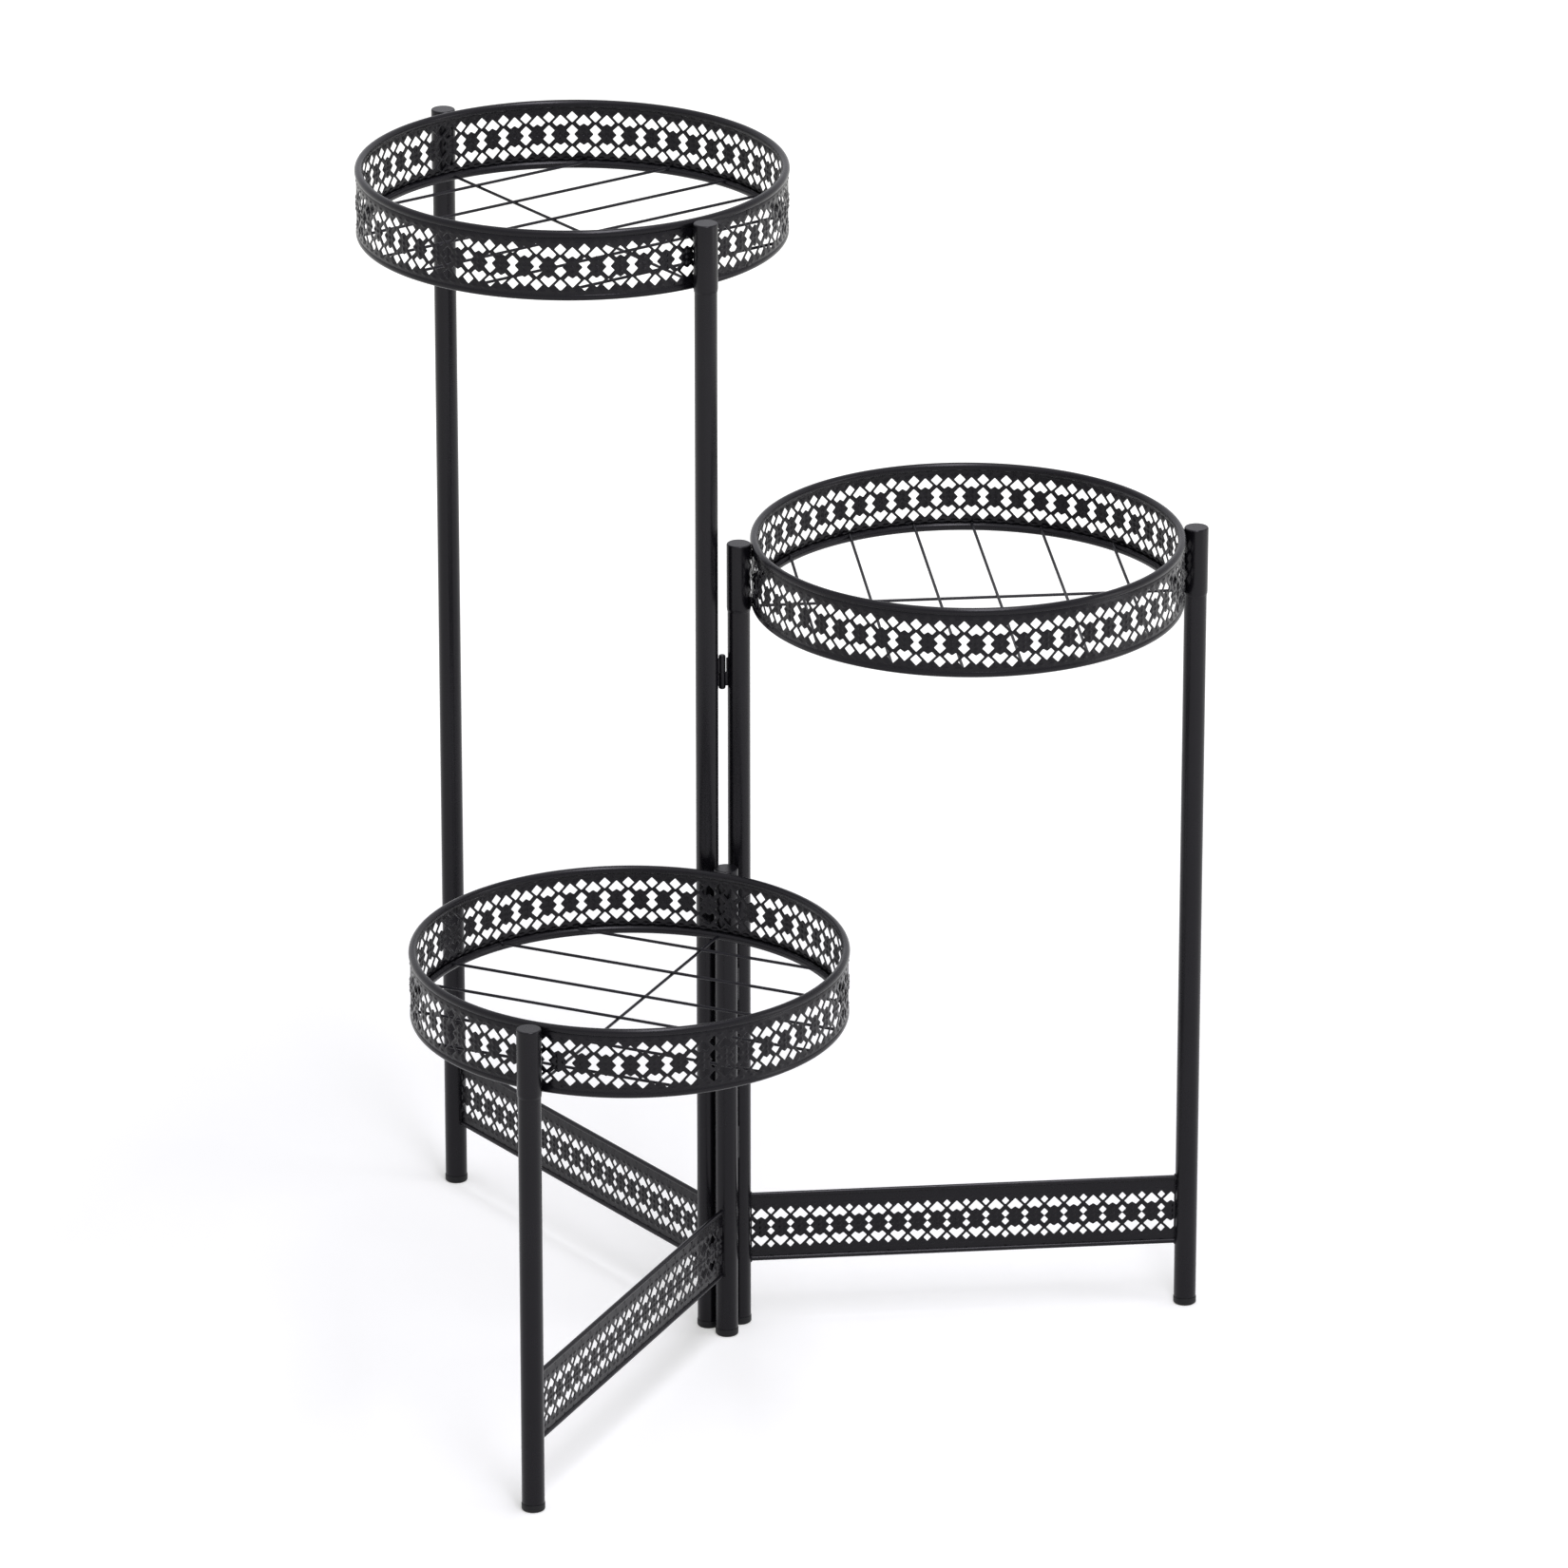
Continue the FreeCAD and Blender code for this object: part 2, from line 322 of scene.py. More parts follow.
def closeTree(wire, instances, material, weld=None):
    whole = wire.add("GeometryNodeRealizeInstances", None, {"Geometry": instances})
    if weld is not None:
        whole = wire.add("GeometryNodeMergeByDistance", None, {"Geometry": whole, "Distance": weld})
    painted = wire.add("GeometryNodeSetMaterial", None, {"Geometry": whole, "Material": material})
    end = wire.tree.nodes.new("NodeGroupOutput")
    wire.tree.links.new(painted.socket, end.inputs[0])


def repeatTree():
    # copies of a mesh, each moved and turned one step on from the last, and joined edge to edge
    tree, wire, given = newTree("repeatAlong", {"Count": "Int", "Step": "Vector", "Turn": "Float",
                                                "Join": "Float", "Material": "Material"})
    line = wire.add("GeometryNodeMeshLine", {"mode": "OFFSET"},
                    {"Count": given["Count"], "Offset": given["Step"]})
    index = wire.add("GeometryNodeInputIndex")
    turn = wire.add("ShaderNodeCombineXYZ", None, {"Z": index * given["Turn"]})
    turn = wire.add("FunctionNodeEulerToRotation", None, {0: turn})
    copies = wire.add("GeometryNodeInstanceOnPoints", None,
                      {"Points": line, "Instance": given["Geometry"], "Rotation": turn})
    closeTree(wire, copies, given["Material"], given["Join"])
    return tree


def wireTree():
    # straight wires across a ring, each as long as the ring is wide where it lies
    tree, wire, given = newTree("wiresAcross", {"Reach": "Float", "Radius": "Float", "Sides": "Int",
                                                "Material": "Material"})
    spot = wire.add("GeometryNodeInputPosition")
    across = wire.add("ShaderNodeSeparateXYZ", None, {0: spot})
    half = wire.maths("SQRT", given["Reach"] * given["Reach"] - across * across)
    run = wire.add("GeometryNodeCurvePrimitiveLine", None, {"Start": (0, -1, 0), "End": (0, 1, 0)})
    profile = wire.add("GeometryNodeCurvePrimitiveCircle", None,
                       {"Resolution": given["Sides"], "Radius": given["Radius"]})
    rod = wire.add("GeometryNodeCurveToMesh", None,
                   {"Curve": run, "Profile Curve": profile, "Fill Caps": True})
    size = wire.add("ShaderNodeCombineXYZ", None, {"X": 1.0, "Y": half, "Z": 1.0})
    rods = wire.add("GeometryNodeInstanceOnPoints", None,
                    {"Points": given["Geometry"], "Instance": rod, "Scale": size})
    closeTree(wire, rods, given["Material"])
    return tree


def beadTree():
    # a weld: overlapping beads on a row of points, no two quite alike
    tree, wire, given = newTree("weldBeads", {"Size": "Vector", "Seed": "Int", "Material": "Material"})
    bead = wire.add("GeometryNodeMeshUVSphere", None, {"Segments": 9, "Rings": 6, "Radius": 1.0})
    spread = wire.add("FunctionNodeRandomValue", {"data_type": "FLOAT_VECTOR"},
                      {0: (0.82, 0.82, 0.82), 1: (1.18, 1.18, 1.18), "Seed": given["Seed"]})
    size = wire.add("ShaderNodeVectorMath", {"operation": "MULTIPLY"}, {0: given["Size"], 1: spread})
    tilt = wire.add("FunctionNodeRandomValue", {"data_type": "FLOAT_VECTOR"},
                    {0: (-0.4, -0.4, -0.4), 1: (0.4, 0.4, 0.4), "Seed": given["Seed"] + 7})
    tilt = wire.add("FunctionNodeEulerToRotation", None, {0: tilt})
    beads = wire.add("GeometryNodeInstanceOnPoints", None,
                     {"Points": given["Geometry"], "Instance": bead, "Rotation": tilt, "Scale": size})
    closeTree(wire, beads, given["Material"])
    return tree


trees = {"repeat": repeatTree(), "wires": wireTree(), "beads": beadTree()}


def grown(mesh, treeName, values, place=None, outwards=True):
    # the plain mesh that a tree makes of a drawn one
    tree = trees[treeName]
    holder = bpy.data.objects.new("holder", mesh)
    bpy.context.scene.collection.objects.link(holder)
    modifier = holder.modifiers.new("Grow", "NODES")
    modifier.node_group = tree
    keys = {item.name: item.identifier for item in tree.interface.items_tree if item.in_out == "INPUT"}
    for label, value in values.items():
        modifier[keys[label]] = value
    graph = bpy.context.evaluated_depsgraph_get()
    result = bpy.data.meshes.new_from_object(holder.evaluated_get(graph))
    bpy.data.objects.remove(holder)
    if outwards:
        bm = bmesh.new()
        bm.from_mesh(result)
        bmesh.ops.recalc_face_normals(bm, faces=bm.faces[:])
        bm.to_mesh(result)
        bm.free()
    if place is not None:
        result.transform(place)
    return result


def pointMesh(points):
    mesh = bpy.data.meshes.new("points")
    mesh.from_pydata([tuple(p) for p in points], [], [])
    return mesh


def welds(points, size, seed, place):
    return grown(pointMesh(points), "beads",
                 {"Size": size, "Seed": seed, "Material": materials["powder_coat"]}, place, False)


# The pierced sheet: one repeat of its pattern, in millimetres from the middle of the repeat.
patternPlan = {
    "heartTip": 12.65, "heartCorner": (4.95, 7.65), "heartLobe": (2.4, 5.05), "heartNotch": 6.75,
    "diamondHeight": 11.0, "waistHeight": 2.57,
    "corner": 0.55,                            # rounding of the punched corners
    "sheet": 0.6,
    "edge": 0.11,                              # rounding of the coat along each hole
    "petals": ((0, 3.5, 1.35, 1.75), (0, -3.5, 1.35, 1.75), (3.7, 0, 1.75, 1.25), (-3.7, 0, 1.75, 1.25)),
    "boss": (0, 0, 1.35, 1.35),
    "buds": ((3.5, 14.9, 2.3, 1.0), (-3.5, 14.9, 2.3, 1.0), (3.5, -14.9, 2.3, 1.0), (-3.5, -14.9, 2.3, 1.0)),
    "petalRise": 0.62, "bossRise": 0.7, "budRise": 0.5,
    "gap": 2.1,                                # spacing of points on the plain parts
    "rowStep": 0.87,                           # of the gap, between rows of those points
    "sideRoom": 0.3, "borderRoom": 0.2, "holeRoom": 0.28,
    "reliefRings": ((0.4, 6), (0.75, 9), (0.97, 12), (1.12, 12)),
    "roundness": 1.1,
    "join": 0.02,
}


def softened(outline, cut):
    # corners cut to short curves
    points = []
    count = len(outline)
    for i in range(count):
        before, here, after = (Vector(outline[(i + k) % count]) for k in (-1, 0, 1))
        first = min(cut, (before - here).length * 0.4)
        last = min(cut, (after - here).length * 0.4)
        a = here + (before - here).normalized() * first
        b = here + (after - here).normalized() * last
        middle = here * 0.5 + (a + b) * 0.25
        points += [tuple(a), tuple(middle), tuple(b)]
    return points


def heart(x, side):
    plan = patternPlan
    lobe, corner = plan["heartLobe"], plan["heartCorner"]
    outline = [(0, plan["heartTip"]), corner, lobe, (0, plan["heartNotch"]),
               (-lobe[0], lobe[1]), (-corner[0], corner[1])]
    return softened([(x + across, side * up) for across, up in outline], plan["corner"])


def diamond(x, z, wide, tall):
    return softened([(x, z + tall), (x + wide, z), (x, z - tall), (x - wide, z)], patternPlan["corner"])


def waistedDiamond(x, wide, tall, waist):
    near = patternPlan["waistHeight"]
    far = near + tall
    outline = [(x, far), (x + wide, near), (x + waist, 0), (x + wide, -near),
               (x, -far), (x - wide, -near), (x - waist, 0), (x - wide, near)]
    return softened(outline, patternPlan["corner"])


def clipped(outline, limit, side):
    # the part of an outline beyond an upright line, on the side given
    kept = []
    count = len(outline)
    for i in range(count):
        a, b = outline[i], outline[(i + 1) % count]
        insideA, insideB = ((p[0] - limit) * side >= 0 for p in (a, b))
        if insideA:
            kept.append(a)
        if insideA != insideB:
            share = (limit - a[0]) / (b[0] - a[0])
            kept.append((limit, a[1] + (b[1] - a[1]) * share))
    return kept


def within(x, z, outline):
    inside = False
    count = len(outline)
    for i in range(count):
        (x1, z1), (x2, z2) = outline[i], outline[(i + 1) % count]
        if (z1 > z) != (z2 > z) and x < (x2 - x1) * (z - z1) / (z2 - z1) + x1:
            inside = not inside
    return inside


def nearEdge(point, outline, room):
    count = len(outline)
    for i in range(count):
        near, share = intersect_point_line(point, outline[i], outline[(i + 1) % count])
        near = Vector(near[:2]) if 0 <= share <= 1 else Vector(outline[i])
        if (near - Vector(point)).length < room:
            return True
    return False


def reliefOf(middle):
    # raised forms of one repeat, as (x, z, half width, half height, rise)
    plan = patternPlan
    forms = [form + (plan["petalRise"],) for form in plan["petals"]]
    forms += [plan["boss"] + (plan["bossRise"],)]
    forms += [form + (plan["budRise"],) for form in plan["buds"]]
    return [(middle + x, z, a, b, rise) for x, z, a, b, rise in forms]


def riseAt(x, z, forms):
    top = 0.0
    for cx, cz, a, b, rise in forms:
        far = ((x - cx) / a) ** 2 + ((z - cz) / b) ** 2
        if far < 1.0:
            top = max(top, rise * (1.0 - far) ** patternPlan["roundness"])
    return top


def piercedCell(outlines, left, right, low, high, forms, openSides=("left", "right")):
    # one stretch of pierced sheet in (across, out, up); its face is at out = 0 and its back behind it
    plan = patternPlan
    outlines = [o for o in outlines if len(o) > 2]
    points, edges = [], []

    def addLoop(loop):
        first = len(points)
        points.extend(Vector(p) for p in loop)
        edges.extend((first + i, first + (i + 1) % len(loop)) for i in range(len(loop)))

    gap = plan["gap"]
    across = max(1, round((right - left) / gap))
    border = [(left + (right - left) * i / across, low) for i in range(across)] + [(right, low)]
    border += [(right - (right - left) * i / across, high) for i in range(across)] + [(left, high)]
    addLoop(border)
    for outline in outlines:
        addLoop(outline)

    def clearOf(form, x, z):
        return ((x - form[0]) / (form[2] + gap / 2)) ** 2 + ((z - form[1]) / (form[3] + gap / 2)) ** 2 > 1

    loose = []
    for cx, cz, a, b, rise in forms:
        loose.append((cx, cz))
        for share, count in plan["reliefRings"]:
            for i in range(count):
                turn = 2 * math.pi * (i + 0.5 * share) / count
                loose.append((cx + a * share * math.cos(turn), cz + b * share * math.sin(turn)))
    row = 0
    z = low + gap
    while z < high - gap / 2:
        x = left + gap * (0.5 if row % 2 else 1.0)
        while x < right - gap * 0.3:
            if all(clearOf(form, x, z) for form in forms):
                loose.append((x, z))
            x += gap
        z += gap * plan["rowStep"]
        row += 1
    for x, z in loose:
        inside = (left + plan["sideRoom"] < x < right - plan["sideRoom"]
                  and low + plan["borderRoom"] < z < high - plan["borderRoom"])
        if inside and not any(within(x, z, o) or nearEdge((x, z), o, plan["holeRoom"]) for o in outlines):
            points.append(Vector((x, z)))

    verts, _, faces, _, _, _ = delaunay_2d_cdt(points, edges, [], 0, 1e-5)
    kept = []
    for face in faces:
        x = sum(verts[i].x for i in face) / len(face)
        z = sum(verts[i].y for i in face) / len(face)
        if left < x < right and low < z < high and not any(within(x, z, o) for o in outlines):
            kept.append(face)

    used = sorted({i for face in kept for i in face})
    bm = bmesh.new()
    front = {i: bm.verts.new((verts[i].x, riseAt(verts[i].x, verts[i].y, forms), verts[i].y)) for i in used}
    back = {i: bm.verts.new((verts[i].x, front[i].co.y - plan["sheet"], verts[i].y)) for i in used}
    sides = {}
    for face in kept:
        bm.faces.new([front[i] for i in face])
        bm.faces.new([back[i] for i in reversed(face)])
        for k in range(len(face)):
            a, b = face[k], face[(k + 1) % len(face)]
            sides[(a, b)] = sides.get((a, b), 0) + 1

    def onOpenSide(a, b):
        for name, limit in (("left", left), ("right", right)):
            if name in openSides and abs(verts[a].x - limit) < 1e-3 and abs(verts[b].x - limit) < 1e-3:
                return True
        return False

    walls = [pair for pair in sides if (pair[1], pair[0]) not in sides and not onOpenSide(*pair)]
    outward = {}
    for a, b in walls:
        run = verts[b] - verts[a]
        normal = Vector((run.y, -run.x)).normalized()
        for i in (a, b):
            outward.setdefault(i, []).append(normal)
    ring = {}
    for i, normals in outward.items():
        total = sum(normals, Vector((0, 0)))
        onSide = min(abs(verts[i].x - left), abs(verts[i].x - right)) < 1e-3
        if onSide:
            total.x = 0.0
        direction = total.normalized() if total.length > 1e-6 else normals[0]
        lean = max(0.6, direction.dot(normals[0]))
        shift = direction * (plan["edge"] / lean)
        x, z = verts[i].x + shift.x, verts[i].y + shift.y
        ring[i] = (bm.verts.new((x, front[i].co.y - plan["edge"], z)),
                   bm.verts.new((x, back[i].co.y + plan["edge"], z)))
    for a, b in walls:
        bm.faces.new((front[b], front[a], ring[a][0], ring[b][0]))
        bm.faces.new((ring[b][0], ring[a][0], ring[a][1], ring[b][1]))
        bm.faces.new((ring[b][1], ring[a][1], back[a], back[b]))
    return bm


legPlan = {"footLip": 4.5, "capTop": 0.7, "chamfer": 0.25}
footPlan = {"radius": 7.0, "lip": 4.5, "round": 1.2, "topRound": 0.35, "plug": 12.0, "plugRadius": 5.8,
            "hollow": 0.5, "hollowInset": 2.6, "faceInset": 2.2,
            "ribs": 3, "firstRib": 2.0, "ribPitch": 3.2, "ribHeight": 1.8, "ribRoot": 0.35, "ribTip": 0.03,
            "tipInset": 0.8}
railPlan = {"topHeight": 83.0, "topRadius": 1.5, "bottomHeight": 41.1, "bottomRadius": 1.5, "inset": 0.4}
panelPlan = {"middle": 61.3, "pitch": 11.93, "firstColumn": 7.03, "margin": 0.55, "diamond": (2.5, 2.7),
             "repeats": 20, "formRoom": 0.4}


def legMesh(name, place, height):
    plan = legPlan
    outer = standPlan["legRadius"]
    inner = outer - standPlan["legWall"]
    low, high, cut = plan["footLip"], height - plan["capTop"], plan["chamfer"]
    bm = bmesh.new()
    outline = [(outer - cut, low), (outer, low + cut), (outer, high - cut), (outer - cut, high),
               (inner + cut, high), (inner, high - cut), (inner, low + cut), (inner + cut, low)]
    addTurned(bm, outline, None, 72, True)
    return meshFrom(bm, name, place)


def footMesh(name, place):
    plan = footPlan
    r, lip, plug = plan["radius"], plan["lip"], plan["plugRadius"]
    outline = [(0, plan["hollow"]), (r - plan["hollowInset"], plan["hollow"]), (r - plan["faceInset"], 0)]
    outline += arc(r - plan["round"], plan["round"], plan["round"], -90, 0, 6)
    outline += arc(r - plan["topRound"], lip - plan["topRound"], plan["topRound"], 0, 90, 3)
    outline += [(plug, lip)]
    for k in range(plan["ribs"]):              # gripping ribs inside the tube
        z = lip + plan["firstRib"] + k * plan["ribPitch"]
        outline += [(plug - plan["ribRoot"], z), (plug - plan["ribTip"], z + plan["ribHeight"] / 2),
                    (plug - plan["ribRoot"], z + plan["ribHeight"])]
    outline += [(plug - plan["tipInset"], lip + plan["plug"]), (0, lip + plan["plug"])]
    bm = bmesh.new()
    addTurned(bm, outline, None, 64)
    return meshFrom(bm, name, place)


def railMesh(name, place, height, radius):
    inset = standPlan["legRadius"] - railPlan["inset"]
    bm = bmesh.new()
    addRod(bm, (inset, 0, height), (standPlan["legSpacing"] - inset, 0, height), radius, 24, 0.1)
    return meshFrom(bm, name, place)


def panelMesh(name, place):
    plan = panelPlan
    pitch, first = plan["pitch"], plan["firstColumn"]
    low = railPlan["bottomHeight"] - plan["middle"]
    high = railPlan["topHeight"] - plan["middle"]
    wide, tall = plan["diamond"]
    levels = [patternPlan["diamondHeight"], patternPlan["waistHeight"]]
    column = [diamond(0, side * level, wide, tall) for level in levels for side in (1, -1)]
    hearts = [heart(pitch / 2, side) for side in (1, -1)]

    def shifted(outlines, x):
        return [[(px + x, pz) for px, pz in outline] for outline in outlines]

    cell = piercedCell(column + shifted(column, pitch) + hearts, 0, pitch, low, high, reliefOf(pitch / 2))
    # the first and last stretches stop at a solid margin beside the leg
    start = standPlan["legRadius"] - railPlan["inset"]
    leftEdge = standPlan["legRadius"] + plan["margin"]
    rightEdge = standPlan["legSpacing"] - leftEdge
    holes = shifted(column + shifted(column, pitch) + hearts, first)
    leftEnd = piercedCell([clipped(o, leftEdge, 1) for o in holes], start, first + pitch, low, high,
                          reliefOf(first + pitch / 2), ("right",))
    last = first + pitch * (plan["repeats"] + 1)
    holes = shifted(column + hearts, last)
    lastForms = [f for f in reliefOf(last + pitch / 2) if f[0] + f[2] < rightEdge - plan["formRoom"]]
    rightEnd = piercedCell([clipped(o, rightEdge, -1) for o in holes], last, standPlan["legSpacing"] - start,
                           low, high, lastForms, ("left",))
    row = grown(meshFrom(cell, "panelCell", None, False), "repeat",
                {"Count": plan["repeats"], "Step": (pitch, 0, 0), "Turn": 0.0, "Join": patternPlan["join"],
                 "Material": materials["powder_coat"]}, Matrix.Translation((first + pitch, 0, 0)), False)
    bm = bmesh.new()
    for mesh in (row, meshFrom(leftEnd, "panelLeft", None, False),
                 meshFrom(rightEnd, "panelRight", None, False)):
        bm.from_mesh(mesh)
    bmesh.ops.remove_doubles(bm, verts=bm.verts[:], dist=patternPlan["join"])
    bmesh.ops.recalc_face_normals(bm, faces=bm.faces[:])
    # the face looks along -Y, half a sheet in front of the frame's middle plane
    face = Matrix.Translation((0, -patternPlan["sheet"] / 2, plan["middle"]))
    face = face @ Matrix.Scale(-1, 4, (0, 1, 0))
    bmesh.ops.transform(bm, matrix=face, verts=bm.verts[:])
    bmesh.ops.recalc_face_normals(bm, faces=bm.faces[:])
    if not name.startswith("middle"):          # the other two frames are its twins, turned end for end
        half = Matrix.Translation((standPlan["legSpacing"] / 2, 0, 0))
        place = place @ half @ Matrix.Rotation(math.pi, 4, "Z") @ half.inverted()
    bmesh.ops.transform(bm, matrix=place, verts=bm.verts[:])
    mesh = bpy.data.meshes.new(name)
    bm.to_mesh(mesh)
    bm.free()
    return mesh


braceWeldPlan = {"railBeads": 10, "proud": 0.15, "out": 0.1, "runStart": 3.0, "runEnd": 9.0, "step": 0.85,
                 "between": 31.0, "across": 0.55, "size": (0.62, 0.62, 0.62)}


def braceWelds(place, seed):
    # a ring of beads where each rail meets its leg, and a run down each end of the sheet
    plan = braceWeldPlan
    points = []
    radius = standPlan["legRadius"]
    for x, side in ((0, 1), (standPlan["legSpacing"], -1)):
        for height, rod in ((railPlan["topHeight"], railPlan["topRadius"]),
                            (railPlan["bottomHeight"], railPlan["bottomRadius"])):
            for i in range(plan["railBeads"]):
                turn = 2 * math.pi * i / plan["railBeads"]
                y, z = (rod + plan["proud"]) * math.cos(turn), (rod + plan["proud"]) * math.sin(turn)
                reach = math.sqrt(radius ** 2 - y ** 2) + plan["out"]
                points.append((x + side * reach, y, height + z))
        z = railPlan["bottomHeight"] + plan["runStart"]
        reach = x + side * (radius + plan["out"])
        while z < railPlan["bottomHeight"] + plan["runEnd"]:
            for run in (0, plan["between"]):
                points += [(reach, y, z + run) for y in (-plan["across"], plan["across"])]
            z += plan["step"]
    return welds(points, plan["size"], seed, place)


for number, name in enumerate(standPlan["names"]):
    body = name + "_frame"
    height = standPlan["heights"][name]
    for side, x in (("Hub", 0.0), ("Outer", standPlan["legSpacing"])):
        node = name + "_" + side.lower()
        place = placeOf(name, x)
        showPiece(legMesh(name + side + "Tube", place, height), name + side + "Tube", body,
                  "powder_coat", [node + "_leg"])
        showPiece(footMesh(name + side + "Foot", place), name + side + "Foot", body,
                  "foot_plastic", [node + "_foot"])
    place = placeOf(name)
    for level in ("top", "bottom"):
        label = name + "Brace" + level.capitalize() + "Rail"
        mesh = railMesh(label, place, railPlan[level + "Height"], railPlan[level + "Radius"])
        showPiece(mesh, label, body, "powder_coat", [name + "_brace_" + level + "_rail"])
    label = name + "BracePanel"
    showPiece(panelMesh(label, place), label, body, "powder_coat", [name + "_brace_panel"], 50.0)
    showPiece(braceWelds(place, number), name + "BraceWelds", body, "powder_coat")
print("frames built")


# Trays are drawn with the middle on the Z axis and the bottom at height 0.
trayPlan = {
    "radius": 128.2, "depth": 43.0, "rimRise": 0.65, "repeats": 57, "patternDrop": 0.65,
    "diamond": 3.7, "waist": 1.2,
    "rimProud": 0.9, "ringProud": 0.5,       # how far each roll stands out from the strip's face
    "roll": 2.45, "rollWall": 0.6,
    "wireOffsets": (17.6, 58.0, 97.5), "wireRadius": 0.9, "wireHeight": 4.5, "crossHeight": 2.7,
    "wireShort": 2.5, "crossShort": 3.7,      # how far short of the face each wire ends
    "wireSides": 16, "rollEnd": -262, "overlap": 0.1,
}
seamPlan = {"angle": 198.95, "width": 3.4, "rise": 0.28, "sunk": 0.5, "borders": (5.9, 35.8), "round": 0.12}
socketPlan = {"radius": 7.25, "bore": 6.83, "length": 42.0, "ceiling": 0.67, "shoulder": 0.85, "crown": 0.5,
              "taper": 2.2, "taperRadius": 6.95, "tip": (0.1, 0.15)}


def rollStart(proud):
    # the angle on a roll, up from straight out, where the strip leaves it
    return math.degrees(math.acos(1 - proud / trayPlan["roll"]))


def rollTop(proud):
    return trayPlan["roll"] * (1 + math.sin(math.radians(rollStart(proud)))) - trayPlan["overlap"]


def bandMesh(name, place):
    plan = trayPlan
    radius = plan["radius"]
    pitch = 2 * math.pi * radius / plan["repeats"]
    half = pitch / 2
    level = plan["depth"] / 2 - plan["patternDrop"]
    low, high = rollTop(plan["ringProud"]) - level, plan["depth"] - rollTop(plan["rimProud"]) - level
    outlines = [heart(0, 1), heart(0, -1)]
    for x in (-half, half):
        outlines += [waistedDiamond(x, plan["diamond"], plan["diamond"], plan["waist"]),
                     diamond(x, patternPlan["diamondHeight"], plan["diamond"], plan["diamond"]),
                     diamond(x, -patternPlan["diamondHeight"], plan["diamond"], plan["diamond"])]
    cell = piercedCell(outlines, -half, half, low, high, reliefOf(0.0))
    for vert in cell.verts:                    # bent round the tray
        turn = vert.co.x / radius
        out = radius + vert.co.y
        vert.co = Vector((out * math.cos(turn), out * math.sin(turn), vert.co.z + level))
    return grown(meshFrom(cell, "bandCell", None, False), "repeat",
                 {"Count": plan["repeats"], "Step": (0, 0, 0), "Turn": 2 * math.pi / plan["repeats"],
                  "Join": patternPlan["join"], "Material": materials["powder_coat"]}, place)


def rollMesh(name, place, upper):
    # the strip's edge rolled inwards into an open bead; its lip ends against the strip
    plan = trayPlan
    roll, wall = plan["roll"], plan["rollWall"]
    proud = plan["rimProud"] if upper else plan["ringProud"]
    centre = plan["radius"] + proud - roll
    start = rollStart(proud)
    outline = arc(centre, roll, roll, start, plan["rollEnd"], 36)
    outline += arc(centre, roll, roll - wall, plan["rollEnd"], start, 24)
    if upper:
        outline = [(r, plan["depth"] - z) for r, z in outline]
    bm = bmesh.new()
    addTurned(bm, outline, None, 228, True)
    return meshFrom(bm, name, place)


def wiresMesh(name, place):
    plan = trayPlan
    spots = [(side * offset, 0, plan["wireHeight"]) for offset in plan["wireOffsets"] for side in (1, -1)]
    values = {"Reach": plan["radius"] - plan["wireShort"], "Radius": plan["wireRadius"],
              "Sides": plan["wireSides"], "Material": materials["wire_coat"]}
    return grown(pointMesh(spots), "wires", values, place)


def crossMesh(name, place):
    plan = trayPlan
    quarter = Matrix.Rotation(math.radians(90), 4, "Z")
    values = {"Reach": plan["radius"] - plan["crossShort"], "Radius": plan["wireRadius"],
              "Sides": plan["wireSides"], "Material": materials["wire_coat"]}
    return grown(pointMesh([(0, 0, plan["crossHeight"])]), "wires", values, place @ quarter)


def socketMesh(name, place):
    plan = socketPlan
    top = trayPlan["depth"] - trayPlan["rimRise"]
    low = top - plan["length"]
    radius, bore, shoulder = plan["radius"], plan["bore"], plan["shoulder"]
    outline = [(0, top), (radius - shoulder - plan["crown"], top)]
    outline += arc(radius - shoulder, top - shoulder, shoulder, 90, 0, 6)
    outline += [(radius, low + plan["taper"]), (plan["taperRadius"] + plan["tip"][0], low + plan["tip"][1]),
                (plan["taperRadius"], low), (bore, low),
                (bore, top - plan["ceiling"]), (0, top - plan["ceiling"])]
    bm = bmesh.new()
    addTurned(bm, outline, None, 72)
    return meshFrom(bm, name, place)


trayWeldPlan = {"out": 1.1, "starts": (4.0, 33.5), "run": 5.2, "step": 0.9, "across": 2.7,
                "wireEnd": 3.1, "wireLift": 0.35, "size": (0.95, 0.95, 0.75)}


def trayWelds(place, seed):
    # beads in the crook between each socket and the tray, and a dab where each wire lands on the roll
    plan = trayWeldPlan
    points = []
    for side in (1, -1):
        reach = side * (trayPlan["radius"] + plan["out"])
        for low in plan["starts"]:
            z = low
            while z < low + plan["run"]:
                points += [(reach, y, z) for y in (-plan["across"], plan["across"])]
                z += plan["step"]
    reach = trayPlan["radius"] - plan["wireEnd"]
    height = trayPlan["wireHeight"] + plan["wireLift"]
    for offset in trayPlan["wireOffsets"]:
        for x in (offset, -offset):
            y = math.sqrt(reach ** 2 - x ** 2)
            points += [(x, y, height), (x, -y, height)]
    points += [(reach, 0, trayPlan["crossHeight"]), (-reach, 0, trayPlan["crossHeight"])]
    return welds(points, plan["size"], seed, place)


